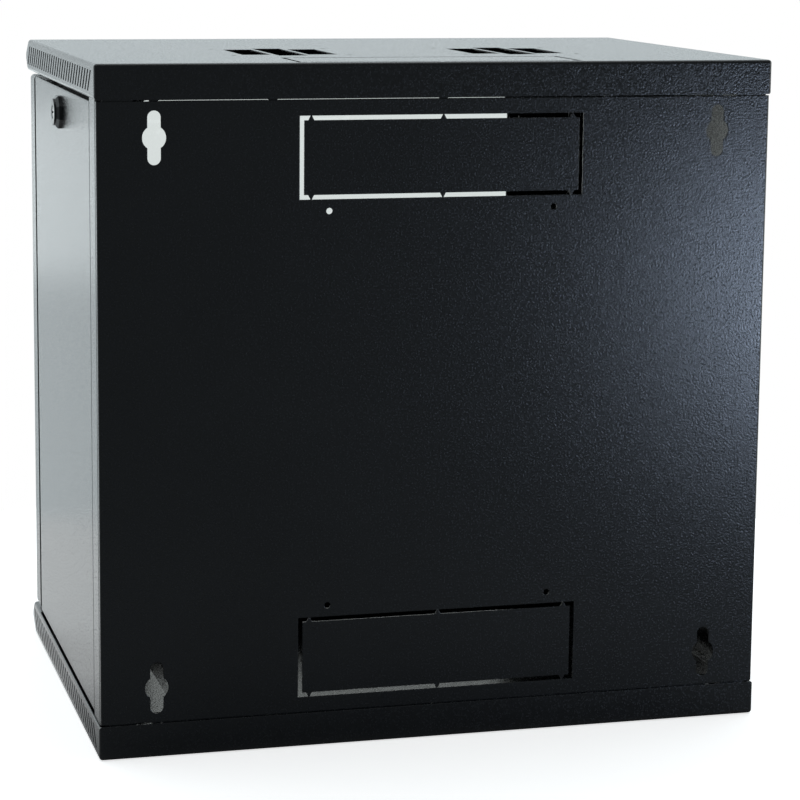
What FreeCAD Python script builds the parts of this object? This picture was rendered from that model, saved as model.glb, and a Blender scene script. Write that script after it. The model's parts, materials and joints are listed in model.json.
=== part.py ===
import FreeCAD, Part
import math
import os

# Wall mount network cabinet, 12 rack units, in millimetres.
# +Z up, the glass door faces -Y and the wall is at +Y. Left and right are those of
# someone facing the door, so the right side is +X. The origin is at the middle of
# the underside.

V = FreeCAD.Vector

# ---- overall sizes ----
WIDTH = 600.0                # over the two covers
DEPTH = 440.0                # wall plane to the tip of the covers' noses
HEIGHT = 595.0

# ---- sheet metal ----
COVER_T = 1.2
PANEL_T = 1.2                # rear panel
SIDE_T = 1.0                 # side panels
POST_T = 1.5                 # posts, depth rails and rack rails
DOOR_T = 1.2
BEND = 1.0                   # inside bend radius
WELD_GAP = 0.3               # between pieces that seat on each other

# ---- covers ----
COVER_H = 30.0
COVER_EDGE = 3.0             # outside radius of the covers' folded edges
NOSE_REACH = 19.0            # front edge of the flat sheet to the nose's tip
NOSE_BEVEL_H = 12.7          # height of the nose's long bevel
NOSE_TIP_H = 6.8
NOSE_UNDERCUT = 10.5         # how far the nose's short bevel comes back
NOSE_RADIUS = 5.0
RETURN_REACH = 53.0          # inner edge of the return flange to the nose's tip

# ---- slanted vents in the cover skirts ----
VENT_PITCH = 14.4
VENT_FIRST = 27.0            # wall plane to the middle of the first vent
VENT_W = 6.0
VENT_H = 18.0
VENT_LEAN = 16.0             # how far a vent leans forward over its height

# ---- fan places in the top cover ----
FAN_X = 106.0
FAN_DEPTH = 170.0            # wall plane to the fan's centre
FAN_SLOT_W = 26.0
FAN_SLOT_PITCH = 30.0
FAN_SLOT_LONG = 117.0
FAN_SLOT_SHORT = 88.0
FAN_BOLT_PITCH = 105.0
FAN_BOLT_R = 2.25

# ---- knockouts, the same cut in the rear panel and both covers ----
KNOCKOUT_W = 252.0
KNOCKOUT_H = 71.0
KNOCKOUT_SLIT = 3.9
BRIDGE_PITCH = 116.0
BRIDGE_ROOT = 5.0            # width of a micro-bridge at the plate
BRIDGE_NECK = 1.0            # and at its outer end
REAR_KNOCKOUT_EDGE = 44.5    # underside, or top, to the nearer edge of a rear knockout
COVER_KNOCKOUT_DEPTH = 6.5   # wall plane to the nearer edge of a cover's knockout

# ---- rear panel ----
BODY_STEP = 1.5              # the body is this much narrower than the covers, each side
PANEL_INSET = 0.8            # the panel lies this far inside the covers' rear face
PANEL_SEAM = 1.2             # gap between the panel and each cover
PANEL_LIP = 5.0
TAB_INNER_X = 149.0          # the middle tabs, each side of the centre
TAB_W = 8.0
TAB_H = 13.0
KEYHOLE_INSET = 50.0         # cabinet's side to the keyhole's centre
KEYHOLE_EDGE = 61.5          # underside, or top, to the keyhole's centre
KEYHOLE_R = 10.25
KEYHOLE_SLOT_W = 11.4
KEYHOLE_SLOT_L = 45.5
TIE_HOLE_X = 100.0
TIE_HOLE_R = 2.75
TIE_HOLE_GAP = 10.0          # knockout's edge to the tie hole's centre

# ---- posts ----
REAR_POST_DEPTH = 37.0       # wall plane to the rear post's step
REAR_POST_LANDING = 23.0     # depth of the side panel's landing behind that step
REAR_POST_FLANGE = 25.5
LIP_JOGGLE = 5.0             # room for the rear panel's lip
LIP_GAP = 1.2
REAR_POST_END = 2.2          # end of a rear post to the cover's sheet
POST_SETBACK = 55.0          # nose's tip to the front post's face
POST_INSET = 38.0            # cabinet's side to the front opening
FRONT_POST_LIP = 15.0
FRONT_POST_LANDING = 43.0

# ---- side panels ----
SIDE_FLANGE = 11.5
SIDE_REAR_GAP = 1.0
SIDE_SETBACK = 2.0           # front post's face to the side panel's front edge
SIDE_TOP_GAP = 3.0
SIDE_BOTTOM_GAP = 2.5
SIDE_EDGE = 2.0
SIDE_TAB_FRONT = 75.0        # front post's face to the front tab
SIDE_TAB_REAR = 100.0        # wall plane to the rear tab
SIDE_TAB_W = 30.0
SIDE_TAB_L = 8.0
SIDE_TAB_CLEAR = 0.3

# ---- depth rails ----
DEPTH_RAIL_WEB = 15.0
RAIL_LEG_CLEAR = 1.0         # rack opening to the depth rail's leg
DEPTH_RAIL_LEG_Z = 26.0      # underside of the lower rail's leg
DEPTH_RAIL_FRONT_GAP = 17.0  # front post's face to the rail's end
DEPTH_RAIL_REAR_GAP = 40.0   # wall plane to the rail's end

# ---- 19 inch rack rails ----
UNIT_H = 44.45
UNIT_HOLES = (6.35, 22.225, 38.1)
RACK_OPENING = 450.0
RACK_HOLE_PITCH = 465.1
SQUARE_HOLE = 9.5
RAIL_FLANGE = 20.0
RAIL_LEG = 38.0
RAIL_SETBACK = 55.0          # front post's face to the rack rails' front plane
RAIL_TRAVEL_FORWARD = 30.0
RAIL_REAR_GAP = 131.0        # wall plane to a rail bolt in its rearmost place
RAIL_FOOT_W = 32.0
RAIL_FOOT_L = 32.0
BOLT_R = 3.0
BOLT_HOLE_R = 3.3
BOLT_AF = 10.0
BOLT_HEAD_H = 4.0
WASHER_R = 6.0
WASHER_T = 1.6
NUT_H = 5.0

# ---- door ----
DOOR_SETBACK = 20.0          # nose's tip to the door's front
DOOR_THICK = 30.0
DOOR_GAP = 3.0
DOOR_EDGE = 4.0
DOOR_LIP = 22.0
WINDOW_SIDE = 111.0          # cabinet's side to the window
WINDOW_FRAME_H = 27.0        # height of the bar above and below the window
WINDOW_R = 4.0
GLASS_T = 4.0
GLASS_LAP = 12.0
TAPE_T = 1.0
TAPE_W = 9.0
CLIP_COUNT = 4
CLIP_END = 42.5              # window's end to the first clip
CLIP_W = 20.0
CLIP_FOOT = 13.5
CLIP_REACH = 10.0
CLIP_STUD_R = 2.0
CLIP_STUD_L = 9.0
CLIP_NUT_AF = 7.0
CLIP_NUT_H = 3.2
BUMPER_R = 3.5
BUMPER_INSET = 19.0
BUMPER_END = 110.0           # underside, or top, to a bumper

# ---- door hinge ----
HINGE_INSET = 10.0           # cabinet's side to the hinge axis
PIN_R = 3.0
RUNNING = 0.05               # radial clearance of a running fit
BUSH_R = 5.0
BUSH_FLANGE_R = 7.0
BUSH_FLANGE_T = 1.0
BUSH_L = 6.0
PIN_REACH = 4.0              # how far a pin stands into its cover
PIN_L = 41.0
LUG_Z_DROP = 27.0            # door's top to the lug's underside
LUG_T = 2.0
LUG_W = 16.0
PIN_COLLAR_R = 4.6
PIN_COLLAR_T = 1.5
PIN_COLLAR_DROP = 10.0       # door's top to the collar's top
PIN_LEVER_L = 18.0
THRUST_R = 6.0

# ---- cam locks: two side panel latches and the door lock ----
LOCK_HEAD_AF = 29.0
LOCK_HEAD_T = 5.0
LOCK_BEZEL_R = 12.0
LOCK_BEZEL_T = 2.0
LOCK_HEAD_BEVEL = 2.2
LOCK_BARREL_R = 8.0
LOCK_HOLE_R = 8.2
LOCK_NUT_AF = 22.0
LOCK_NUT_T = 4.0
PLUG_R = 6.0
PLUG_RECESS = 0.5
KEY_SLOT_W = 1.6
KEY_SLOT_L = 8.0
KEY_SLOT_DEPTH = 3.0
SPIGOT = 7.0                 # square end of the plug
SPIGOT_CLEAR = 0.1
CAM_T = 2.5
CAM_BOSS_R = 9.0
CAM_W = 12.0
CAM_L = 24.0
CAM_GAP = 0.5                # barrel's end to the cam
CAM_SCREW_R = 4.5
CAM_SCREW_T = 2.5
CAM_SCREW_SHANK_R = 2.0
CAM_SCREW_SHANK_L = 7.0
LATCH_DEPTH = 212.0          # wall plane to the side latch's axis
LATCH_DROP = 55.0            # cabinet's top to the side latch's axis
LATCH_BARREL_L = 16.0        # panel's outer face to the barrel's end
DOOR_LOCK_INSET = 53.0
DOOR_LOCK_BARREL_L = 38.3
CAM_NOTCH_DOWN = 27.0
CAM_NOTCH_UP = 9.0

# ---- earth stud ----
EARTH_X = 230.0
EARTH_DEPTH = 30.0           # wall plane to the earth stud
EARTH_L = 20.0

# ---- sizes that follow ----
REAR_Y = DEPTH / 2
FRONT_Y = REAR_Y - DEPTH
HALF_W = WIDTH / 2
BODY_X = HALF_W - BODY_STEP
MID_Z = HEIGHT / 2
PANEL_Y = REAR_Y - PANEL_INSET
LANDING_X = BODY_X - SIDE_FLANGE - WELD_GAP
LATCH_Y = REAR_Y - LATCH_DEPTH
SIDE_BOTTOM = COVER_H + SIDE_BOTTOM_GAP
SIDE_TOP = HEIGHT - COVER_H - SIDE_TOP_GAP
DOOR_FRONT = FRONT_Y + DOOR_SETBACK
DOOR_BACK = DOOR_FRONT + DOOR_THICK
DOOR_BOTTOM = COVER_H + DOOR_GAP
DOOR_TOP = HEIGHT - COVER_H - DOOR_GAP
POST_FACE_Y = FRONT_Y + POST_SETBACK
FOOT_Z = DEPTH_RAIL_LEG_Z + POST_T + WELD_GAP
FLAT_DEPTH = DEPTH - NOSE_REACH
RETURN_DEPTH = DEPTH - RETURN_REACH
VENT_COUNT = int((FLAT_DEPTH - VENT_FIRST) / VENT_PITCH) + 1
KEYHOLE_X = HALF_W - KEYHOLE_INSET
KEYHOLE_PITCH_Z = HEIGHT - 2 * KEYHOLE_EDGE
TAB_XS = (-KEYHOLE_X, -TAB_INNER_X, 0.0, TAB_INNER_X, KEYHOLE_X)
SIDE_TAB_YS = (POST_FACE_Y + SIDE_TAB_FRONT, REAR_Y - SIDE_TAB_REAR)
DEPTH_RAIL_FRONT = POST_FACE_Y + DEPTH_RAIL_FRONT_GAP
DEPTH_RAIL_REAR = REAR_Y - DEPTH_RAIL_REAR_GAP
RACK_UNITS = int((HEIGHT - 2 * COVER_H) / UNIT_H)
RAIL_FRONT = POST_FACE_Y + RAIL_SETBACK
WINDOW_W = WIDTH - 2 * WINDOW_SIDE
WINDOW_H = DOOR_TOP - DOOR_BOTTOM - 2 * WINDOW_FRAME_H
CLIP_PITCH = (WINDOW_H - 2 * CLIP_END) / (CLIP_COUNT - 1)
BUMPER_X = HALF_W - BUMPER_INSET
BUMPER_ZS = (BUMPER_END, HEIGHT - BUMPER_END)
HINGE_X = HINGE_INSET - HALF_W
HINGE_Y = (DOOR_FRONT + DOOR_BACK) / 2
LATCH_Z = HEIGHT - LATCH_DROP
DOOR_LOCK_X = HALF_W - DOOR_LOCK_INSET
EARTH_Y = REAR_Y - EARTH_DEPTH
RAIL_BOLT_X = RACK_OPENING / 2 + RAIL_FLANGE + RAIL_FOOT_W / 2 + 1.0
RAIL_BOLT_Y = RAIL_FRONT + RAIL_LEG / 2

parts = {}


# ---- helpers ----

def box(x0, x1, y0, y1, z0, z1):
    """A block between two corners."""
    return Part.makeBox(x1 - x0, y1 - y0, z1 - z0, V(x0, y0, z0))


def rod(radius, start, end):
    """A cylinder from one point to another."""
    axis = V(*end) - V(*start)
    return Part.makeCylinder(radius, axis.Length, V(*start), axis)


def hex_bar(across_flats, height, base, axis, sides=6):
    """A bar with regular flats that stands on base along axis."""
    radius = across_flats / 2 / math.cos(math.pi / sides)
    turn = math.pi / sides
    ring = [V(radius * math.cos(2 * math.pi * i / sides + turn),
              radius * math.sin(2 * math.pi * i / sides + turn), 0) for i in range(sides)]
    bar = Part.Face(Part.makePolygon(ring + ring[:1])).extrude(V(0, 0, height))
    bar.Placement = FreeCAD.Placement(V(*base), FreeCAD.Rotation(V(0, 0, 1), V(*axis)))
    return bar


def mirror_x(shape):
    """The same piece for the other side."""
    return shape.mirror(V(0, 0, 0), V(1, 0, 0))


def mirror_z(shape):
    """The same piece upside down about mid height."""
    return shape.mirror(V(0, 0, MID_Z), V(0, 0, 1))


def fuse(shapes):
    """One solid of pieces that are welded or made in one."""
    return shapes[0].multiFuse(shapes[1:]).removeSplitter()


def rounded_face(points, radii):
    """A flat face with straight sides and a round at each corner that has a radius."""
    count = len(points)
    starts, ends, middles = [], [], []
    for i in range(count):
        here, back, ahead = points[i], points[i - 1], points[(i + 1) % count]
        to_back = (back - here).normalize()
        to_ahead = (ahead - here).normalize()
        half = to_back.getAngle(to_ahead) / 2
        if radii[i] <= 0:
            starts.append(here)
            ends.append(here)
            middles.append(None)
            continue
        tangent = radii[i] / math.tan(half)
        centre = here + (to_back + to_ahead).normalize() * (radii[i] / math.sin(half))
        starts.append(here + to_back * tangent)
        ends.append(here + to_ahead * tangent)
        middles.append(centre + (here - centre).normalize() * radii[i])
    edges = []
    for i in range(count):
        if middles[i] is not None:
            edges.append(Part.Arc(starts[i], middles[i], ends[i]).toShape())
        edges.append(Part.LineSegment(ends[i], starts[(i + 1) % count]).toShape())
    return Part.Face(Part.Wire(edges))


def offset_points(path, distance, closed):
    """A path moved sideways to its left, with its corners mitred."""
    count = len(path)
    moved = []
    for i, here in enumerate(path):
        sides = []
        if i > 0 or closed:
            sides.append((here - path[i - 1]).normalize())
        if i < count - 1 or closed:
            sides.append((path[(i + 1) % count] - here).normalize())
        normals = [V(-s.y, s.x, 0) for s in sides]
        if len(normals) == 1:
            moved.append(here + normals[0] * distance)
        else:
            both = normals[0] + normals[1]
            moved.append(here + both * (distance / (1 + normals[0].dot(normals[1]))))
    return moved


def bent_strip(corners, thickness, start, length, plane="xy", side=1):
    """Folded sheet: a path of corners in a plane, thickened to its left (side=1) or its
    right (side=-1), with BEND inside each fold, and extruded from start over length."""
    path = [V(a, b, 0) for a, b in corners]
    border = offset_points(path, thickness * side, False)
    near, far = [0.0], [0.0]
    for i in range(1, len(path) - 1):
        turn = (path[i] - path[i - 1]).cross(path[i + 1] - path[i]).z * side
        near.append(BEND + thickness if turn > 0 else BEND)
        far.append(BEND if turn > 0 else BEND + thickness)
    near.append(0.0)
    far.append(0.0)
    return profile(path + border[::-1], near + far[::-1], start, length, plane)


def profile(points, radii, start, length, plane):
    """Extrude a rounded outline: plane xy along Z, yz along X, xz along Y."""
    place = {"xy": lambda p: V(p.x, p.y, start),
             "yz": lambda p: V(start, p.x, p.y),
             "xz": lambda p: V(p.x, start, p.y)}[plane]
    along = {"xy": V(0, 0, length), "yz": V(length, 0, 0), "xz": V(0, length, 0)}[plane]
    return rounded_face([place(p) for p in points], radii).extrude(along)


def round_edges(solid, radius, wanted):
    """Fillet the edges whose middle point meets the test."""
    edges = [e for e in solid.Edges if wanted(e.BoundBox)]
    return solid.makeFillet(radius, edges)


# ---- covers ----

def cover_block(inset):
    """The bottom cover's outer form, or its cavity when inset by the sheet."""
    outline = [V(REAR_Y, 0, 0), V(REAR_Y, COVER_H, 0),
               V(FRONT_Y + NOSE_UNDERCUT, COVER_H, 0),
               V(FRONT_Y, NOSE_BEVEL_H + NOSE_TIP_H, 0),
               V(FRONT_Y, NOSE_BEVEL_H, 0),
               V(REAR_Y - FLAT_DEPTH, 0, 0)]
    radii = [COVER_EDGE, 0.0, NOSE_RADIUS, NOSE_RADIUS, NOSE_RADIUS, NOSE_RADIUS]
    outline = offset_points(outline, inset, True)
    radii = [max(r - inset, 0.0) for r in radii]
    half = HALF_W - inset
    block = profile(outline, radii, -half, 2 * half, "yz")
    rim = outline[1].y

    def folded(b):
        at_end = b.XLength < 1e-6
        on_rim = b.ZLength < 1e-6 and abs(b.ZMin - rim) < 1e-3
        return at_end and not on_rim

    return round_edges(block, COVER_EDGE - inset, folded)


def vents():
    """Slanted vents through both side skirts of the bottom cover."""
    low = (COVER_H - VENT_H) / 2
    cutters = []
    for i in range(VENT_COUNT):
        middle = REAR_Y - VENT_FIRST - i * VENT_PITCH
        rear = middle + VENT_LEAN / 2
        front = middle - VENT_LEAN / 2
        ring = [V(-HALF_W - 1, rear - VENT_W / 2, low), V(-HALF_W - 1, rear + VENT_W / 2, low),
                V(-HALF_W - 1, front + VENT_W / 2, low + VENT_H),
                V(-HALF_W - 1, front - VENT_W / 2, low + VENT_H)]
        face = Part.Face(Part.makePolygon(ring + ring[:1]))
        cutters.append(face.extrude(V(WIDTH + 2, 0, 0)))
    return Part.makeCompound(cutters)


def knockout_cutter(centre, normal):
    """The slit round a knockout plate, broken by six tapering micro-bridges."""
    half_w, half_h = KNOCKOUT_W / 2, KNOCKOUT_H / 2
    reach = 5.0
    ring = box(-half_w, half_w, -half_h, half_h, -reach, reach).cut(
        box(-half_w + KNOCKOUT_SLIT, half_w - KNOCKOUT_SLIT,
            -half_h + KNOCKOUT_SLIT, half_h - KNOCKOUT_SLIT, -reach, reach))
    bridges = []
    for x in (-BRIDGE_PITCH, 0.0, BRIDGE_PITCH):
        for end in (-1, 1):
            outer, inner = end * half_h, end * (half_h - KNOCKOUT_SLIT)
            corners = [V(x - BRIDGE_ROOT / 2, inner, -reach), V(x + BRIDGE_ROOT / 2, inner, -reach),
                       V(x + BRIDGE_NECK / 2, outer, -reach), V(x - BRIDGE_NECK / 2, outer, -reach)]
            face = Part.Face(Part.makePolygon(corners + corners[:1]))
            bridges.append(face.extrude(V(0, 0, 2 * reach)))
    cutter = ring.cut(Part.makeCompound(bridges))
    if normal == "y":
        cutter.rotate(V(0, 0, 0), V(1, 0, 0), 90)
    cutter.translate(V(*centre))
    return cutter


def cover_tray():
    """A folded tray with side skirts, a rear skirt and a bevelled hollow nose."""
    cavity = cover_block(COVER_T)
    mouth = box(-HALF_W + COVER_T, HALF_W - COVER_T, REAR_Y - RETURN_DEPTH, REAR_Y - COVER_T,
                COVER_EDGE, COVER_H + 1)
    mouth = round_edges(mouth, COVER_EDGE - COVER_T,
                        lambda b: b.ZLength > 1 and b.YMin > REAR_Y - COVER_T - 1e-3)
    tray = cover_block(0.0).cut(cavity).cut(mouth)
    hinge_hole = rod(BUSH_R, (HINGE_X, HINGE_Y, COVER_H / 2), (HINGE_X, HINGE_Y, COVER_H + 1))
    spare_hole = mirror_x(hinge_hole)
    plate_y = REAR_Y - COVER_KNOCKOUT_DEPTH - KNOCKOUT_H / 2
    return tray.cut([vents(), hinge_hole, spare_hole, knockout_cutter((0, plate_y, 0), "z")])


def fan_cutters():
    """Vent slots and screw holes for two fans, for the cover's flat sheet at z=0."""
    y = REAR_Y - FAN_DEPTH
    cutters = []
    for x in (-FAN_X, FAN_X):
        for i, length in ((-1, FAN_SLOT_SHORT), (0, FAN_SLOT_LONG), (1, FAN_SLOT_SHORT)):
            left = x + i * FAN_SLOT_PITCH - FAN_SLOT_W / 2
            cutters.append(box(left, left + FAN_SLOT_W, y - length / 2, y + length / 2, -1, 5))
        for dx in (-1, 1):
            for dy in (-1, 1):
                hole = (x + dx * FAN_BOLT_PITCH / 2, y + dy * FAN_BOLT_PITCH / 2)
                cutters.append(rod(FAN_BOLT_R, (*hole, -1), (*hole, 5)))
    return cutters


def earth_stud():
    """Weld stud for the earth lead, on the bottom cover."""
    foot = (EARTH_X, EARTH_Y, COVER_T)
    return rod(BOLT_R, foot, (EARTH_X, EARTH_Y, COVER_T + EARTH_L))


def earth_nuts():
    """Washer and nut on the earth stud."""
    z = COVER_T
    washer = rod(WASHER_R, (EARTH_X, EARTH_Y, z), (EARTH_X, EARTH_Y, z + WASHER_T))
    nut = hex_bar(BOLT_AF, NUT_H, (EARTH_X, EARTH_Y, z + WASHER_T), (0, 0, 1))
    bore = rod(BOLT_R + RUNNING, (EARTH_X, EARTH_Y, 0), (EARTH_X, EARTH_Y, COVER_H))
    return fuse([washer, nut]).cut(bore)


# ---- rear panel ----

def keyhole_cutter(x, z):
    """A round entry with a slot above and below it."""
    reach = 5.0
    straight = (KEYHOLE_SLOT_L - KEYHOLE_SLOT_W) / 2
    y0, y1 = PANEL_Y - reach, PANEL_Y + reach
    slot_r = KEYHOLE_SLOT_W / 2
    pieces = [rod(KEYHOLE_R, (x, y0, z), (x, y1, z)),
              box(x - slot_r, x + slot_r, y0, y1, z - straight, z + straight)]
    for end in (-1, 1):
        tip = z + end * straight
        pieces.append(rod(slot_r, (x, y0, tip), (x, y1, tip)))
    return fuse(pieces)


def rear_panel():
    """Flat panel with folded side lips, keyholes, two knockouts, tie holes and tabs."""
    low, high = COVER_H + PANEL_SEAM, HEIGHT - COVER_H - PANEL_SEAM
    folds = [(-BODY_X, PANEL_Y - PANEL_LIP), (-BODY_X, PANEL_Y), (BODY_X, PANEL_Y),
             (BODY_X, PANEL_Y - PANEL_LIP)]
    sheet = bent_strip(folds, PANEL_T, low, high - low, side=-1)
    cutters = []
    for x in (-KEYHOLE_X, KEYHOLE_X):
        for end in (-1, 1):
            cutters.append(keyhole_cutter(x, MID_Z + end * KEYHOLE_PITCH_Z / 2))
    for end in (-1, 1):
        middle = REAR_KNOCKOUT_EDGE + KNOCKOUT_H / 2
        z = middle if end < 0 else HEIGHT - middle
        cutters.append(knockout_cutter((0, PANEL_Y, z), "y"))
        tie_z = z - end * (KNOCKOUT_H / 2 + TIE_HOLE_GAP)
        for x in (-TIE_HOLE_X, TIE_HOLE_X):
            cutters.append(rod(TIE_HOLE_R, (x, PANEL_Y - 5, tie_z), (x, PANEL_Y + 5, tie_z)))
    sheet = sheet.cut(cutters)
    inner = PANEL_Y - PANEL_T
    tabs = []
    for x in TAB_XS:
        tab = box(x - TAB_W / 2, x + TAB_W / 2, inner - PANEL_T, inner,
                  high - TAB_H / 2, high + TAB_H / 2)
        tabs += [tab, mirror_z(tab)]
    return fuse([sheet] + tabs)


# ---- posts and depth rails ----

def rear_post():
    """Right rear corner post: a joggle for the panel's lip, and the corner's outer web."""
    inner = PANEL_Y - PANEL_T
    lip_end = PANEL_Y - PANEL_LIP - LIP_GAP
    joggle_x = BODY_X - LIP_JOGGLE
    folds = [(joggle_x - REAR_POST_FLANGE, inner), (joggle_x, inner), (joggle_x, lip_end),
             (BODY_X, lip_end), (BODY_X, REAR_Y - REAR_POST_DEPTH)]
    low = COVER_T + REAR_POST_END
    return bent_strip(folds, POST_T, low, HEIGHT - 2 * low, side=-1)


def rear_landing():
    """Angle welded inside the rear post's web, for the side panel to lie on."""
    step_y = REAR_Y - REAR_POST_DEPTH
    folds = [(BODY_X - POST_T - WELD_GAP, step_y), (LANDING_X, step_y),
             (LANDING_X, step_y - REAR_POST_LANDING)]
    low = COVER_T + REAR_POST_END
    return bent_strip(folds, POST_T, low, HEIGHT - 2 * low, side=-1)


def front_post():
    """Right front post: face behind the door, a landing for the side, a stiffening lip."""
    inner_x = HALF_W - POST_INSET
    folds = [(inner_x, POST_FACE_Y + FRONT_POST_LIP), (inner_x, POST_FACE_Y),
             (LANDING_X, POST_FACE_Y), (LANDING_X, POST_FACE_Y + FRONT_POST_LANDING)]
    post = bent_strip(folds, POST_T, COVER_T, HEIGHT - 2 * COVER_T)
    notch = box(inner_x - 1, inner_x + POST_T + BEND, POST_FACE_Y + POST_T + BEND,
                POST_FACE_Y + FRONT_POST_LIP + 1, MID_Z - CAM_NOTCH_DOWN, MID_Z + CAM_NOTCH_UP)
    return post.cut(notch)


def depth_rail():
    """Right lower depth rail: landing web, slotted leg, and slots for the panel's tabs."""
    web_x = LANDING_X - POST_T
    low = DEPTH_RAIL_LEG_Z
    folds = [(RACK_OPENING / 2 + RAIL_LEG_CLEAR, low), (web_x, low), (web_x, low + DEPTH_RAIL_WEB)]
    rail = bent_strip(folds, POST_T, DEPTH_RAIL_FRONT, DEPTH_RAIL_REAR - DEPTH_RAIL_FRONT, "xz")
    first = RAIL_BOLT_Y - RAIL_TRAVEL_FORWARD
    last = REAR_Y - RAIL_REAR_GAP
    cutters = [box(RAIL_BOLT_X - BOLT_HOLE_R, RAIL_BOLT_X + BOLT_HOLE_R, first, last,
                   low - 1, low + POST_T + 1)]
    for y in (first, last):
        cutters.append(rod(BOLT_HOLE_R, (RAIL_BOLT_X, y, low - 1), (RAIL_BOLT_X, y, low + 3)))
    return rail.cut(cutters)


def tab_slots():
    """Slots in the lower depth rail's web for the side panel's tabs."""
    web_x = LANDING_X - POST_T
    cutters = []
    for y in SIDE_TAB_YS:
        half = SIDE_TAB_W / 2 + SIDE_TAB_CLEAR
        cutters.append(box(web_x - POST_T - 1, web_x + 1, y - half, y + half,
                           SIDE_BOTTOM - SIDE_TAB_CLEAR, SIDE_BOTTOM + SIDE_T + SIDE_TAB_CLEAR))
    return cutters


# ---- rack rails ----

def rack_rail():
    """Right 19 inch rail with square holes for cage nuts and a foot at each end."""
    inner_x = RACK_OPENING / 2
    outer_x = inner_x + RAIL_FLANGE
    folds = [(inner_x, RAIL_FRONT), (outer_x, RAIL_FRONT), (outer_x, RAIL_FRONT + RAIL_LEG)]
    angle = bent_strip(folds, POST_T, FOOT_Z, HEIGHT - 2 * FOOT_Z)
    foot = box(outer_x - POST_T, outer_x + RAIL_FOOT_W, RAIL_BOLT_Y - RAIL_FOOT_L / 2,
               RAIL_BOLT_Y + RAIL_FOOT_L / 2, FOOT_Z, FOOT_Z + POST_T)
    rail = fuse([angle, foot, mirror_z(foot)])
    base = MID_Z - RACK_UNITS * UNIT_H / 2
    half = SQUARE_HOLE / 2
    hole_x = RACK_HOLE_PITCH / 2
    cutters = []
    for unit in range(RACK_UNITS):
        for offset in UNIT_HOLES:
            z = base + unit * UNIT_H + offset
            cutters.append(box(hole_x - half, hole_x + half, RAIL_FRONT - 1,
                               RAIL_FRONT + POST_T + 1, z - half, z + half))
    bolt_hole = rod(BOLT_HOLE_R, (RAIL_BOLT_X, RAIL_BOLT_Y, 0),
                    (RAIL_BOLT_X, RAIL_BOLT_Y, HEIGHT))
    return rail.cut(cutters + [bolt_hole])


def rail_bolts():
    """The two bolts that clamp the right rack rail's feet, with their washers."""
    top = FOOT_Z + POST_T
    centre = (RAIL_BOLT_X, RAIL_BOLT_Y)
    shank_end = DEPTH_RAIL_LEG_Z - WELD_GAP - WASHER_T - NUT_H
    bolt = fuse([rod(WASHER_R, (*centre, top), (*centre, top + WASHER_T)),
                 hex_bar(BOLT_AF, BOLT_HEAD_H, (*centre, top + WASHER_T), (0, 0, 1)),
                 rod(BOLT_R, (*centre, shank_end), (*centre, top + WASHER_T))])
    return Part.makeCompound([bolt, mirror_z(bolt)])


def rail_nuts():
    """The nuts and washers under the depth rails' legs."""
    centre = (RAIL_BOLT_X, RAIL_BOLT_Y)
    seat = DEPTH_RAIL_LEG_Z - WELD_GAP
    nut = fuse([rod(WASHER_R, (*centre, seat - WASHER_T), (*centre, seat)),
                hex_bar(BOLT_AF, NUT_H, (*centre, seat - WASHER_T - NUT_H), (0, 0, 1))])
    nut = nut.cut(rod(BOLT_R + RUNNING, (*centre, 0), (*centre, seat + 1)))
    return Part.makeCompound([nut, mirror_z(nut)])


# ---- side panels ----

def side_panel():
    """Right side panel: a folded tray with two tabs at the bottom and a latch hole."""
    inner_x = BODY_X - SIDE_FLANGE
    rear = REAR_Y - REAR_POST_DEPTH - SIDE_REAR_GAP
    front = POST_FACE_Y + SIDE_SETBACK
    block = box(inner_x, BODY_X, front, rear, SIDE_BOTTOM, SIDE_TOP)
    block = round_edges(block, SIDE_EDGE, lambda b: b.XLength > 1 or b.XMin > BODY_X - 1e-3)
    hollow = box(inner_x - 1, BODY_X - SIDE_T, front + SIDE_T, rear - SIDE_T,
                 SIDE_BOTTOM + SIDE_T, SIDE_TOP - SIDE_T)
    hollow = round_edges(hollow, SIDE_EDGE - SIDE_T,
                         lambda b: b.XLength > 1 or b.XMin > BODY_X - SIDE_T - 1e-3)
    tray = block.cut(hollow)
    tabs = [box(inner_x - SIDE_TAB_L, inner_x + SIDE_T, y - SIDE_TAB_W / 2, y + SIDE_TAB_W / 2,
                SIDE_BOTTOM, SIDE_BOTTOM + SIDE_T) for y in SIDE_TAB_YS]
    hole = rod(LOCK_HOLE_R, (inner_x, LATCH_Y, LATCH_Z), (BODY_X + 1, LATCH_Y, LATCH_Z))
    return fuse([tray] + tabs).cut(hole)


# ---- cam locks, drawn along +Z with the mounting face at z=0 ----

def lock_housing(barrel):
    """Eight-sided head with a round bezel, and the threaded barrel behind it."""
    head = hex_bar(LOCK_HEAD_AF, LOCK_HEAD_T, (0, 0, 0), (0, 0, 1), 8)
    head = head.makeChamfer(LOCK_HEAD_BEVEL, [e for e in head.Edges
                                              if e.BoundBox.ZMin > LOCK_HEAD_T - 1e-3])
    bezel = rod(LOCK_BEZEL_R, (0, 0, LOCK_HEAD_T), (0, 0, LOCK_HEAD_T + LOCK_BEZEL_T))
    shank = rod(LOCK_BARREL_R, (0, 0, -barrel), (0, 0, 0))
    bore = rod(PLUG_R + RUNNING, (0, 0, -barrel - 1), (0, 0, LOCK_HEAD_T + LOCK_BEZEL_T + 1))
    return fuse([head, bezel, shank]).cut(bore)


def lock_nut(sheet):
    """The hexagon nut that clamps the housing from behind the sheet."""
    nut = hex_bar(LOCK_NUT_AF, LOCK_NUT_T, (0, 0, -sheet - LOCK_NUT_T), (0, 0, 1))
    return nut.cut(rod(LOCK_BARREL_R + RUNNING, (0, 0, -sheet - LOCK_NUT_T - 1), (0, 0, 1)))


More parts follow.
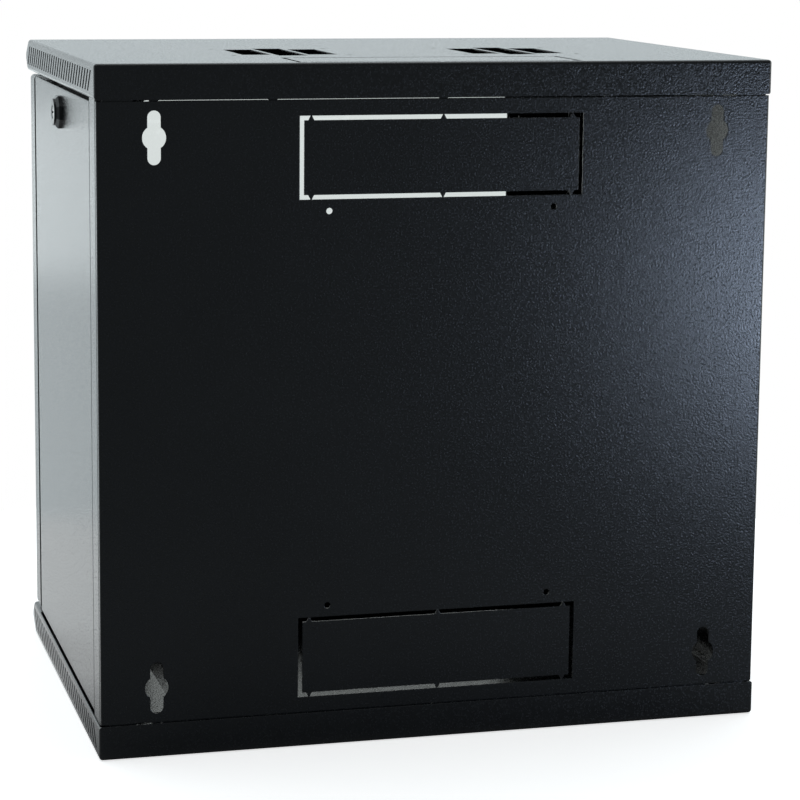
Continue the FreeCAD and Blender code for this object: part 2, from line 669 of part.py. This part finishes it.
def lock_plug(barrel):
    """The turning plug with its key slot, and a square end for the cam."""
    face = LOCK_HEAD_T + LOCK_BEZEL_T - PLUG_RECESS
    cam_top = -barrel - CAM_GAP
    body = rod(PLUG_R, (0, 0, cam_top), (0, 0, face))
    half = SPIGOT / 2
    square = box(-half, half, -half, half, cam_top - CAM_T, cam_top)
    slot = box(-KEY_SLOT_W / 2, KEY_SLOT_W / 2, -KEY_SLOT_L / 2, KEY_SLOT_L / 2,
               face - KEY_SLOT_DEPTH, face + 1)
    tap = rod(CAM_SCREW_SHANK_R, (0, 0, cam_top - CAM_T - 1),
              (0, 0, cam_top - CAM_T + CAM_SCREW_SHANK_L))
    return fuse([body, square]).cut([slot, tap])


def lock_cam(barrel):
    """The cam: a finger on a round boss, pointing along -Y when the lock is open."""
    cam_top = -barrel - CAM_GAP
    boss = rod(CAM_BOSS_R, (0, 0, cam_top - CAM_T), (0, 0, cam_top))
    finger = box(-CAM_W / 2, CAM_W / 2, -CAM_L, 0, cam_top - CAM_T, cam_top)
    finger = round_edges(finger, CAM_W / 4, lambda b: b.ZLength > 1 and b.YMax < -1)
    half = SPIGOT / 2 + SPIGOT_CLEAR
    hole = box(-half, half, -half, half, cam_top - CAM_T - 1, cam_top + 1)
    return fuse([boss, finger]).cut(hole)


def lock_screw(barrel):
    """The screw that holds the cam on the plug."""
    under = -barrel - CAM_GAP - CAM_T
    head = rod(CAM_SCREW_R, (0, 0, under - CAM_SCREW_T), (0, 0, under))
    shank = rod(CAM_SCREW_SHANK_R - RUNNING, (0, 0, under - 0.1),
                (0, 0, under + CAM_SCREW_SHANK_L - 1))
    return fuse([head, shank])


def place_lock(shape, position, outward, cam_direction):
    """Turn a lock piece so that +Z is outward and its open cam points along cam_direction."""
    z_axis = V(*outward)
    y_axis = V(*cam_direction) * -1
    x_axis = y_axis.cross(z_axis)
    matrix = FreeCAD.Matrix(x_axis.x, y_axis.x, z_axis.x, position[0],
                            x_axis.y, y_axis.y, z_axis.y, position[1],
                            x_axis.z, y_axis.z, z_axis.z, position[2], 0, 0, 0, 1)
    placed = shape.copy()
    placed.Placement = FreeCAD.Placement(matrix).multiply(placed.Placement)
    return placed


def add_lock(name, barrel, sheet, position, outward, cam_direction):
    """All pieces of one cam lock under one name."""
    pieces = {"housing": lock_housing(barrel), "nut": lock_nut(sheet),
              "plug": lock_plug(barrel), "cam": lock_cam(barrel),
              "cam_screw": lock_screw(barrel)}
    for piece, shape in pieces.items():
        parts[name + "_" + piece] = place_lock(shape, position, outward, cam_direction)


# ---- door ----

def door_frame():
    """Folded door tray with a window, lips all round the back, and hinge and lock holes."""
    block = box(-BODY_X, BODY_X, DOOR_FRONT, DOOR_BACK, DOOR_BOTTOM, DOOR_TOP)
    block = round_edges(block, DOOR_EDGE, lambda b: b.YLength > 1 or b.YMax < DOOR_FRONT + 1e-3)
    hollow = box(-BODY_X + DOOR_T, BODY_X - DOOR_T, DOOR_FRONT + DOOR_T, DOOR_BACK - DOOR_T,
                 DOOR_BOTTOM + DOOR_T, DOOR_TOP - DOOR_T)
    hollow = round_edges(hollow, DOOR_EDGE - DOOR_T,
                         lambda b: b.YLength > 1 or b.YMax < DOOR_FRONT + DOOR_T + 1e-3)
    back = box(-BODY_X + DOOR_LIP, BODY_X - DOOR_LIP, DOOR_BACK - DOOR_T - 1, DOOR_BACK + 1,
               DOOR_BOTTOM + DOOR_LIP, DOOR_TOP - DOOR_LIP)
    window = box(-WINDOW_W / 2, WINDOW_W / 2, DOOR_FRONT - 1, DOOR_FRONT + DOOR_T + 1,
                 DOOR_BOTTOM + WINDOW_FRAME_H, DOOR_TOP - WINDOW_FRAME_H)
    window = round_edges(window, WINDOW_R, lambda b: b.YLength > 1)
    pin_hole = rod(PIN_R + RUNNING, (HINGE_X, HINGE_Y, DOOR_BOTTOM - 1),
                   (HINGE_X, HINGE_Y, DOOR_TOP + 1))
    lock_hole = rod(LOCK_HOLE_R, (DOOR_LOCK_X, DOOR_FRONT - 1, MID_Z),
                    (DOOR_LOCK_X, DOOR_FRONT + DOOR_T + 1, MID_Z))
    return block.cut([hollow, back, window, pin_hole, lock_hole])


def window_ring(lap, overlap, y0, y1):
    """A frame-shaped ring round the window, from overlap to lap outside its edge."""
    low, high = DOOR_BOTTOM + WINDOW_FRAME_H, DOOR_TOP - WINDOW_FRAME_H
    half = WINDOW_W / 2
    outer = box(-half - lap, half + lap, y0, y1, low - lap, high + lap)
    inner = box(-half - overlap, half + overlap, y0 - 1, y1 + 1, low - overlap, high + overlap)
    return outer, inner


def glazing_tape():
    """Foam tape between the door's sheet and the glass."""
    y0 = DOOR_FRONT + DOOR_T
    outer, inner = window_ring(GLASS_LAP - 1, GLASS_LAP - 1 - TAPE_W, y0, y0 + TAPE_T)
    return outer.cut(inner)


def door_glass():
    """Toughened glass pane behind the window."""
    y0 = DOOR_FRONT + DOOR_T + TAPE_T
    pane, _ = window_ring(GLASS_LAP, 0, y0, y0 + GLASS_T)
    return round_edges(pane, WINDOW_R, lambda b: b.YLength > 1)


def clip_places():
    """Side (+1 or -1) and height of each glass clip."""
    first = MID_Z - CLIP_PITCH * (CLIP_COUNT - 1) / 2
    return [(side, first + i * CLIP_PITCH) for side in (-1, 1) for i in range(CLIP_COUNT)]


def glass_clips():
    """Z-shaped clips that hold the glass's edges to the door."""
    edge = WINDOW_W / 2 + GLASS_LAP + 1
    sheet_y = DOOR_FRONT + DOOR_T
    top = sheet_y + TAPE_T + GLASS_T + DOOR_T
    folds = [(edge + CLIP_FOOT, sheet_y + DOOR_T), (edge + DOOR_T, sheet_y + DOOR_T),
             (edge + DOOR_T, top), (edge - CLIP_REACH, top)]
    clips = []
    for side, z in clip_places():
        clip = bent_strip(folds, DOOR_T, z - CLIP_W / 2, CLIP_W, side=1)
        stud_x = edge + DOOR_T + CLIP_FOOT / 2
        clip = clip.cut(rod(CLIP_STUD_R + 0.1, (stud_x, sheet_y - 1, z), (stud_x, top, z)))
        clips.append(clip if side > 0 else mirror_x(clip))
    return Part.makeCompound(clips)


def clip_studs():
    """Weld studs on the door's sheet for the glass clips."""
    stud_x = WINDOW_W / 2 + GLASS_LAP + 1 + DOOR_T + CLIP_FOOT / 2
    y0 = DOOR_FRONT + DOOR_T
    return Part.makeCompound([rod(CLIP_STUD_R, (s * stud_x, y0, z), (s * stud_x, y0 + CLIP_STUD_L, z))
                              for s, z in clip_places()])


def clip_nuts():
    """Nuts on the glass clips."""
    stud_x = WINDOW_W / 2 + GLASS_LAP + 1 + DOOR_T + CLIP_FOOT / 2
    y0 = DOOR_FRONT + 2 * DOOR_T
    nuts = []
    for side, z in clip_places():
        nut = hex_bar(CLIP_NUT_AF, CLIP_NUT_H, (side * stud_x, y0, z), (0, 1, 0))
        bore = rod(CLIP_STUD_R + RUNNING, (side * stud_x, y0 - 1, z),
                   (side * stud_x, y0 + CLIP_NUT_H + 1, z))
        nuts.append(nut.cut(bore))
    return Part.makeCompound(nuts)


def door_bumpers():
    """Rubber buffers on the right front post, where the closed door meets it."""
    end = DOOR_BACK + WELD_GAP
    return Part.makeCompound([rod(BUMPER_R, (BUMPER_X, end, z), (BUMPER_X, POST_FACE_Y, z))
                              for z in BUMPER_ZS])


# ---- door hinge ----

def hinge_bush():
    """Lower nylon bush: a flange on the cover's return, and a body through it."""
    top = COVER_H + BUSH_FLANGE_T
    flange = rod(BUSH_FLANGE_R, (HINGE_X, HINGE_Y, COVER_H), (HINGE_X, HINGE_Y, top))
    body = rod(BUSH_R, (HINGE_X, HINGE_Y, top - BUSH_L - BUSH_FLANGE_T),
               (HINGE_X, HINGE_Y, COVER_H + 0.5))
    bore = rod(PIN_R + RUNNING, (HINGE_X, HINGE_Y, 0), (HINGE_X, HINGE_Y, top + 1))
    return fuse([flange, body]).cut(bore)


def hinge_lug(z):
    """A lug on the door's side return that guides a hinge pin at height z."""
    side_x = -BODY_X + DOOR_T
    lug = box(side_x, HINGE_X + LUG_W / 2, HINGE_Y - LUG_W / 2, HINGE_Y + LUG_W / 2, z, z + LUG_T)
    tab = box(side_x, side_x + LUG_T, HINGE_Y - LUG_W / 2, HINGE_Y + LUG_W / 2, z, z + LUG_W)
    bore = rod(PIN_R + RUNNING, (HINGE_X, HINGE_Y, z - 1), (HINGE_X, HINGE_Y, z + LUG_T + 1))
    return fuse([lug, tab]).cut(bore)


def lower_hinge_pin():
    """Fixed pin: a thrust collar under the door and a stem up to the lower lug."""
    tip = COVER_H - PIN_REACH
    stem_top = DOOR_BOTTOM + LUG_Z_DROP
    stem = rod(PIN_R, (HINGE_X, HINGE_Y, tip), (HINGE_X, HINGE_Y, stem_top))
    collar = rod(THRUST_R, (HINGE_X, HINGE_Y, COVER_H + BUSH_FLANGE_T + WELD_GAP),
                 (HINGE_X, HINGE_Y, DOOR_BOTTOM))
    return fuse([stem, collar])


def upper_hinge_pin():
    """Spring bolt of the door's upper hinge, with its collar and finger lever."""
    tip = HEIGHT - COVER_H + PIN_REACH
    stem = rod(PIN_R, (HINGE_X, HINGE_Y, tip - PIN_L), (HINGE_X, HINGE_Y, tip))
    collar_top = DOOR_TOP - PIN_COLLAR_DROP
    collar = rod(PIN_COLLAR_R, (HINGE_X, HINGE_Y, collar_top - PIN_COLLAR_T),
                 (HINGE_X, HINGE_Y, collar_top))
    lever_z = tip - PIN_L + PIN_R
    lever = rod(PIN_R - 1, (HINGE_X, HINGE_Y, lever_z), (HINGE_X + PIN_LEVER_L, HINGE_Y, lever_z))
    return fuse([stem, collar, lever])


# ---- the assembly ----

def both_sides(name, right):
    """A right piece and its mirror image on the left."""
    parts["right_" + name] = right
    parts["left_" + name] = mirror_x(right)


bottom = cover_tray()
parts["bottom_cover"] = bottom
parts["top_cover"] = mirror_z(bottom.cut(fan_cutters()))
parts["rear_panel"] = rear_panel()
both_sides("rear_post", rear_post())
both_sides("rear_landing", rear_landing())
both_sides("front_post", front_post())
both_sides("lower_depth_rail", depth_rail().cut(tab_slots()))
both_sides("upper_depth_rail", mirror_z(depth_rail()))
parts["earth_stud"] = earth_stud()
parts["earth_nut"] = earth_nuts()
both_sides("rack_rail", rack_rail())
both_sides("rail_bolts", rail_bolts())
both_sides("rail_nuts", rail_nuts())
both_sides("side_panel", side_panel())
add_lock("right_latch", LATCH_BARREL_L, SIDE_T, (BODY_X, LATCH_Y, LATCH_Z), (1, 0, 0), (0, -1, 0))
add_lock("left_latch", LATCH_BARREL_L, SIDE_T, (-BODY_X, LATCH_Y, LATCH_Z), (-1, 0, 0), (0, -1, 0))
add_lock("door_lock", DOOR_LOCK_BARREL_L, DOOR_T, (DOOR_LOCK_X, DOOR_FRONT, MID_Z), (0, -1, 0),
         (0, 0, -1))
parts["door_frame"] = door_frame()
parts["door_glass"] = door_glass()
parts["glazing_tape"] = glazing_tape()
parts["glass_clips"] = glass_clips()
parts["clip_studs"] = clip_studs()
parts["clip_nuts"] = clip_nuts()
parts["door_bumpers"] = door_bumpers()
parts["lower_hinge_bush"] = hinge_bush()
parts["upper_hinge_bush"] = mirror_z(hinge_bush())
parts["upper_hinge_lug"] = hinge_lug(DOOR_TOP - LUG_Z_DROP)
parts["lower_hinge_lug"] = hinge_lug(DOOR_BOTTOM + LUG_Z_DROP - LUG_T)
parts["lower_hinge_pin"] = lower_hinge_pin()
parts["upper_hinge_pin"] = upper_hinge_pin()

os.makedirs("parts", exist_ok=True)
for node, shape in parts.items():
    shape.exportStep(os.path.join("parts", node + ".step"))
print(len(parts), "parts")
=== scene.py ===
import json
import math
import bpy
from mathutils import Matrix, Vector


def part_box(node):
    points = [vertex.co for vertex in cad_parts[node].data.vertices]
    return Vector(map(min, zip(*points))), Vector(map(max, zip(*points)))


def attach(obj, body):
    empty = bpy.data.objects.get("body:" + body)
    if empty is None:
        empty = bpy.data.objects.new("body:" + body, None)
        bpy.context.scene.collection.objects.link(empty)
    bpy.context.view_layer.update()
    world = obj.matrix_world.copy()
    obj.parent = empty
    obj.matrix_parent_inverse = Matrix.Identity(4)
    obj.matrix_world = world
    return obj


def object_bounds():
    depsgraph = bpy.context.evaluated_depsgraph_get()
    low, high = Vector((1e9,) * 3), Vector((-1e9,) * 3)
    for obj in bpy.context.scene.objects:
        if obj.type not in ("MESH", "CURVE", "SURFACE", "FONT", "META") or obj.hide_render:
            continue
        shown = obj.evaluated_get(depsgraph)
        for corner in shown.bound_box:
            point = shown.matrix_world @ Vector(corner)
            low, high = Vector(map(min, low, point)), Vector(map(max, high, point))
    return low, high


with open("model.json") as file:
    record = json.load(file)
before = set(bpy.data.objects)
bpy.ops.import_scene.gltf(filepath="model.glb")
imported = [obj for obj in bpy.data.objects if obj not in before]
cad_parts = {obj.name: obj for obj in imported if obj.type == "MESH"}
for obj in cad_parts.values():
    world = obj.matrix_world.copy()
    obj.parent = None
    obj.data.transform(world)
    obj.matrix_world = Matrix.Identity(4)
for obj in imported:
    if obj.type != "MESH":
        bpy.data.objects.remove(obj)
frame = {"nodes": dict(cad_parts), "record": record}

cad_lo, cad_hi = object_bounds()

# Lengths are in metres. A colour is its linear red, green and blue.

# ---- node helpers ----

NOISE_MIDDLE = (0.2, 0.8)        # the part of a noise that spread() maps to its range
COLOUR_STOPS = (0.25, 0.75)      # where two_colours() reaches each colour
EDGE_SAMPLES = 4                 # rays that round an edge in the shading
WHITE = (1.0, 1.0, 1.0)


def new_material(name):
    mat = bpy.data.materials.new(name)
    mat.use_nodes = True
    return mat, mat.node_tree, mat.node_tree.nodes["Principled BSDF"]


def feed(tree, socket, value):
    """Links a node's output to a socket, or sets a plain value on it."""
    if isinstance(value, bpy.types.NodeSocket):
        tree.links.new(value, socket)
    else:
        socket.default_value = value


def noise(tree, scale, detail, rough=0.5, stretch=None):
    """Noise that stays on the object. Stretch scales its place along each axis."""
    out = tree.nodes.new("ShaderNodeTexCoord").outputs["Object"]
    if stretch:
        mapping = tree.nodes.new("ShaderNodeMapping")
        mapping.inputs["Scale"].default_value = stretch
        tree.links.new(out, mapping.inputs["Vector"])
        out = mapping.outputs["Vector"]
    tex = tree.nodes.new("ShaderNodeTexNoise")
    tex.inputs["Scale"].default_value = scale
    tex.inputs["Detail"].default_value = detail
    tex.inputs["Roughness"].default_value = rough
    tree.links.new(out, tex.inputs["Vector"])
    return tex.outputs["Fac"]


def remap(tree, value, source, target, interpolation="LINEAR"):
    """Maps one range of a value to another, and holds it at the ends."""
    node = tree.nodes.new("ShaderNodeMapRange")
    node.interpolation_type = interpolation
    for name, number in zip(("From Min", "From Max", "To Min", "To Max"), (*source, *target)):
        node.inputs[name].default_value = number
    tree.links.new(value, node.inputs["Value"])
    return node.outputs["Result"]


def spread(tree, fac, low, high):
    """Maps the middle of a noise to a range."""
    return remap(tree, fac, NOISE_MIDDLE, (low, high), "SMOOTHSTEP")


def along_y(tree, coordinates, source, target):
    """A ramp along Y of the named coordinates."""
    coord = tree.nodes.new("ShaderNodeTexCoord")
    axes = tree.nodes.new("ShaderNodeSeparateXYZ")
    tree.links.new(coord.outputs[coordinates], axes.inputs[0])
    return remap(tree, axes.outputs["Y"], source, target)


def two_colours(tree, fac, first, second):
    ramp = tree.nodes.new("ShaderNodeValToRGB")
    ramp.color_ramp.interpolation = "EASE"
    for stop, place, colour in zip(ramp.color_ramp.elements, COLOUR_STOPS, (first, second)):
        stop.position = place
        stop.color = (*colour, 1)
    tree.links.new(fac, ramp.inputs["Fac"])
    return ramp.outputs["Color"]


def bump(tree, fac, height, strength, edge=None):
    """A bump over the surface, whose edges look rounded to the radius edge."""
    node = tree.nodes.new("ShaderNodeBump")
    node.inputs["Distance"].default_value = height
    node.inputs["Strength"].default_value = strength
    tree.links.new(fac, node.inputs["Height"])
    if edge:
        bevel = tree.nodes.new("ShaderNodeBevel")
        bevel.samples = EDGE_SAMPLES
        bevel.inputs["Radius"].default_value = edge
        tree.links.new(bevel.outputs["Normal"], node.inputs["Normal"])
    return node.outputs["Normal"]


def maths(tree, operation, first, second):
    node = tree.nodes.new("ShaderNodeMath")
    node.operation = operation
    feed(tree, node.inputs[0], first)
    feed(tree, node.inputs[1], second)
    return node.outputs[0]


def mix_colours(tree, factor, first, second):
    node = tree.nodes.new("ShaderNodeMix")
    node.data_type = "RGBA"
    tree.links.new(factor, node.inputs["Factor"])
    feed(tree, node.inputs["A"], first)
    feed(tree, node.inputs["B"], second)
    return node.outputs["Result"]


def dress(tree, shader, colour, roughness, normal=None):
    """Links what varies over a surface to its shader."""
    tree.links.new(colour, shader.inputs["Base Color"])
    tree.links.new(roughness, shader.inputs["Roughness"])
    if normal:
        tree.links.new(normal, shader.inputs["Normal"])


# ---- materials ----


def powder_coat():
    """Fine grain, in gloss and in height, over slow changes of colour."""
    mat, tree, shader = new_material("powder_coat")
    cells = noise(tree, scale=620.0, detail=2.0)
    slow = noise(tree, scale=9.0, detail=3.0)
    dress(tree, shader,
          two_colours(tree, slow, (0.0062, 0.0070, 0.0082), (0.0082, 0.0092, 0.0105)),
          spread(tree, cells, low=0.08, high=0.32),
          bump(tree, cells, height=0.00022, strength=0.8, edge=0.0009))
    shader.inputs["IOR"].default_value = 1.5
    return mat


def zinc():
    """Bright plating with fine drawn lines, which run along Z."""
    mat, tree, shader = new_material("zinc_plating")
    lines = noise(tree, scale=900.0, detail=2.0, stretch=(1.0, 1.0, 0.12))
    patches = noise(tree, scale=60.0, detail=3.0)
    dress(tree, shader,
          two_colours(tree, patches, (0.50, 0.52, 0.54), (0.64, 0.65, 0.65)),
          spread(tree, lines, low=0.24, high=0.36),
          bump(tree, lines, height=0.00002, strength=0.4, edge=0.0003))
    shader.inputs["Metallic"].default_value = 1.0
    return mat


def lock_plastic():
    mat, tree, shader = new_material("lock_plastic")
    fine = noise(tree, scale=1400.0, detail=2.0)
    slow = noise(tree, scale=80.0, detail=3.0)
    dress(tree, shader,
          two_colours(tree, slow, (0.013, 0.014, 0.016), (0.019, 0.020, 0.022)),
          spread(tree, slow, low=0.20, high=0.28),
          bump(tree, fine, height=0.00002, strength=0.25, edge=0.0005))
    return mat


def plug_metal():
    mat, tree, shader = new_material("plug_metal")
    fine = noise(tree, scale=1200.0, detail=2.0)
    slow = noise(tree, scale=120.0, detail=2.0)
    dress(tree, shader,
          two_colours(tree, slow, (0.48, 0.48, 0.48), (0.58, 0.58, 0.57)),
          spread(tree, fine, low=0.16, high=0.26),
          bump(tree, fine, height=0.00001, strength=0.3, edge=0.0002))
    shader.inputs["Metallic"].default_value = 1.0
    return mat


def clear_glass():
    mat, tree, shader = new_material("clear_glass")
    haze = noise(tree, scale=14.0, detail=3.0)
    dress(tree, shader,
          two_colours(tree, haze, (0.71, 0.76, 0.75), (0.73, 0.78, 0.77)),
          spread(tree, haze, low=0.004, high=0.015))
    shader.inputs["Transmission Weight"].default_value = 1.0
    shader.inputs["IOR"].default_value = 1.5
    return mat


def soft_black(name, dark, light, rough, grain):
    """Rubber and foam: matt greys, with a grain of their own size."""
    mat, tree, shader = new_material(name)
    cells = noise(tree, scale=grain, detail=4.0, rough=0.6)
    dress(tree, shader,
          two_colours(tree, cells, (dark, dark, dark), (light, light, light)),
          spread(tree, cells, low=rough - 0.08, high=rough + 0.08),
          bump(tree, cells, height=0.0001, strength=0.5))
    return mat


def nylon():
    mat, tree, shader = new_material("natural_nylon")
    cells = noise(tree, scale=300.0, detail=3.0)
    dress(tree, shader,
          two_colours(tree, cells, (0.60, 0.58, 0.52), (0.70, 0.68, 0.62)),
          spread(tree, cells, low=0.40, high=0.52),
          bump(tree, cells, height=0.00003, strength=0.3))
    shader.inputs["Subsurface Weight"].default_value = 0.1
    shader.inputs["Subsurface Radius"].default_value = (0.002, 0.002, 0.0015)
    return mat


finish = {
    "black_powder_coat": powder_coat(),
    "zinc_plated_steel": zinc(),
    "black_lock_body": lock_plastic(),
    "lock_plug_metal": plug_metal(),
    "toughened_glass": clear_glass(),
    "foam_tape": soft_black("foam_tape", dark=0.015, light=0.030, rough=0.88, grain=900.0),
    "rubber_buffer": soft_black("rubber_buffer", dark=0.02, light=0.036, rough=0.7, grain=500.0),
    "nylon": nylon(),
}
for part in frame["record"]["subparts"]:
    node = frame["nodes"][part["node"]]
    node.data.materials.clear()
    node.data.materials.append(finish[part["material_slot"]])

# ---- seam strips: painted shade ----
# Dark boxes behind the rear panel, between its tabs. They are no part of the cabinet and stand in
# for shade in the seams. They close the lower seam, and all but a thin line of the upper one, with
# painted shade.

LOWEST, HIGHEST = 0, 1           # the two corners of a node's box
Y, Z = 1, 2
TAB_XS = (-0.25, -0.149, 0.0, 0.149, 0.25)
TAB_ROOM = 0.0043                # half a tab and a little clearance
STRIP_FRONT, STRIP_BACK = 0.0023, 0.0014    # from the panel's outer face, inwards
STRIP_EDGE = 0.0002              # how far its edges are rounded
# For each seam, the cover's edge, and a strip's bottom and top from that edge.
SEAMS = {
    "lower": (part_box("bottom_cover")[HIGHEST][Z], -0.0025, 0.0035),
    "upper": (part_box("top_cover")[LOWEST][Z], -0.0060, -0.0008),
}


# A dark box of powder coat behind one seam. It is painted shade, not a part of the cabinet.
def seam_shade_strip(name, x0, x1, z0, z1):
    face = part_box("rear_panel")[HIGHEST][Y]
    depths = (face - STRIP_FRONT, face - STRIP_BACK)
    corners = [(x, y, z) for x in (x0, x1) for y in depths for z in (z0, z1)]
    faces = [(0, 1, 3, 2), (4, 6, 7, 5), (0, 4, 5, 1), (2, 3, 7, 6), (0, 2, 6, 4), (1, 5, 7, 3)]
    mesh = bpy.data.meshes.new(name)
    mesh.from_pydata(corners, [], faces)
    mesh.materials.append(finish["black_powder_coat"])
    obj = bpy.data.objects.new(name, mesh)
    bpy.context.scene.collection.objects.link(obj)
    bevel = obj.modifiers.new("edge", "BEVEL")
    bevel.width, bevel.segments = STRIP_EDGE, 2
    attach(obj, "frame")


for row, (edge, bottom, top) in SEAMS.items():
    for count, (left, right) in enumerate(zip(TAB_XS, TAB_XS[1:]), 1):
        seam_shade_strip(f"{row}_seam_shade_strip_{count}", left + TAB_ROOM, right - TAB_ROOM,
                   edge + bottom, edge + top)

# ---- floor, light and world ----

FLOOR_RADIUS = 0.8
FLOOR_DROP = 0.0005              # below the object, so the two don't share a plane
FLOOR_GREYS = ((0.86, 0.86, 0.86), (0.88, 0.88, 0.88))
FLOOR_WHITE = 0.70               # glow to the camera
FLOOR_SEEN = 0.47                # glow through glass, and in reflections in front of the cabinet
FLOOR_BEHIND = (0.3, 0.3, 0.3)   # colour in reflections, behind the cabinet
FLOOR_TURN = (-0.05, 0.25)       # Y where the floor goes over from in front to behind

WORLD_TURN = (0.25, -0.35)       # Y of a direction, from the wall's side to the door's
WORLD_LIGHT = (0.16, 1.0)        # strength at the wall's side and at the door's
WORLD_TINT = (0.88, 0.97, 1.0)


def floor():
    """White to the camera, and darker in reflections behind the cabinet than in front."""
    bpy.ops.mesh.primitive_circle_add(vertices=128, radius=FLOOR_RADIUS, fill_type="NGON",
                                      location=(0, 0, cad_lo[Z] - FLOOR_DROP))
    plane = bpy.context.object
    plane.name = "studio_floor"
    mat, tree, shader = new_material("studio_floor")
    ray = tree.nodes.new("ShaderNodeLightPath").outputs
    wall_side = along_y(tree, "Object", FLOOR_TURN, (0.0, 1.0))
    behind = maths(tree, "MULTIPLY", wall_side, ray["Is Glossy Ray"])
    front = maths(tree, "SUBTRACT", ray["Is Glossy Ray"], behind)
    plain = two_colours(tree, noise(tree, scale=3.0, detail=2.0), *FLOOR_GREYS)
    tree.links.new(mix_colours(tree, behind, plain, (*FLOOR_BEHIND, 1)),
                   shader.inputs["Base Color"])
    shader.inputs["Roughness"].default_value = 0.9
    shader.inputs["Specular IOR Level"].default_value = 0.0
    shader.inputs["Emission Color"].default_value = (*WHITE, 1)
    seen = maths(tree, "MAXIMUM", ray["Is Transmission Ray"], front)
    glow = maths(tree, "MAXIMUM", maths(tree, "MULTIPLY", seen, FLOOR_SEEN),
                 maths(tree, "MULTIPLY", ray["Is Camera Ray"], FLOOR_WHITE))
    tree.links.new(glow, shader.inputs["Emission Strength"])
    plane.data.materials.append(mat)


def studio_world():
    """White to the camera and through glass. To the rest, pale at the door and dim at the wall."""
    world = bpy.data.worlds.new("studio")
    bpy.context.scene.world = world
    world.use_nodes = True
    tree = world.node_tree
    back = tree.nodes["Background"]
    ray = tree.nodes.new("ShaderNodeLightPath").outputs
    clear = maths(tree, "MAXIMUM", ray["Is Camera Ray"], ray["Is Transmission Ray"])
    side = along_y(tree, "Generated", WORLD_TURN, WORLD_LIGHT)
    tree.links.new(mix_colours(tree, clear, (*WORLD_TINT, 1), (*WHITE, 1)), back.inputs["Color"])
    tree.links.new(maths(tree, "MAXIMUM", clear, side), back.inputs["Strength"])


def lamp(name, place, target, size, watts, tint):
    data = bpy.data.lights.new(name, "AREA")
    data.shape = "RECTANGLE"
    data.size, data.size_y = size
    data.energy = watts
    data.color = tint
    obj = bpy.data.objects.new(name, data)
    bpy.context.scene.collection.objects.link(obj)
    obj.location = place
    obj.visible_camera = False
    obj.rotation_euler = (Vector(target) - Vector(place)).to_track_quat("-Z", "Y").to_euler()


floor()
studio_world()
lamp("wall_softbox", place=(-1.30, 2.07, 0.10), target=(-0.23, 0.22, 0.35),
     size=(0.35, 0.35), watts=7.7, tint=(0.635, 0.77, 1.0))
lamp("top_softbox", place=(0.0, -0.4, 2.6), target=(0.0, 0.0, 0.3),
     size=(2.4, 2.4), watts=11.4, tint=(0.95, 0.99, 1.0))
lamp("left_softbox", place=(-2.4, 0.9, 0.55), target=(-0.3, 0.22, 0.35),
     size=(0.5, 1.2), watts=9.0, tint=(0.97, 0.99, 1.0))
lamp("front_softbox", place=(0.72, -3.0, 0.15), target=(0.3, 0.0, 0.35),
     size=(1.4, 0.35), watts=0.78, tint=(0.93, 0.99, 1.0))

# ---- camera ----

CAMERA_PLACE = (0.6264, 2.3673, 0.7177)
AZIMUTH, ELEVATION, ROLL = 165.016, 9.078, 0.502    # degrees
LENS, SENSOR = 118.0, 36.0                          # millimetres
SHIFT = (0.0203, -0.0825)
NEAREST = 0.05


def camera():
    a, e, r = (math.radians(v) for v in (AZIMUTH, ELEVATION, ROLL))
    back = Vector((math.sin(a) * math.cos(e), -math.cos(a) * math.cos(e), math.sin(e)))
    level = Vector((0, 0, 1)).cross(back).normalized()
    upright = back.cross(level)
    right = level * math.cos(r) + upright * math.sin(r)
    up = upright * math.cos(r) - level * math.sin(r)
    turn = Matrix((right, up, back)).transposed().to_4x4()
    data = bpy.data.cameras.new("camera")
    data.lens = LENS
    data.sensor_width = SENSOR
    data.shift_x, data.shift_y = SHIFT
    data.clip_start = NEAREST
    obj = bpy.data.objects.new("camera", data)
    obj.matrix_world = Matrix.Translation(CAMERA_PLACE) @ turn
    bpy.context.scene.collection.objects.link(obj)
    bpy.context.scene.camera = obj


camera()
bpy.context.scene.view_settings.view_transform = "Standard"
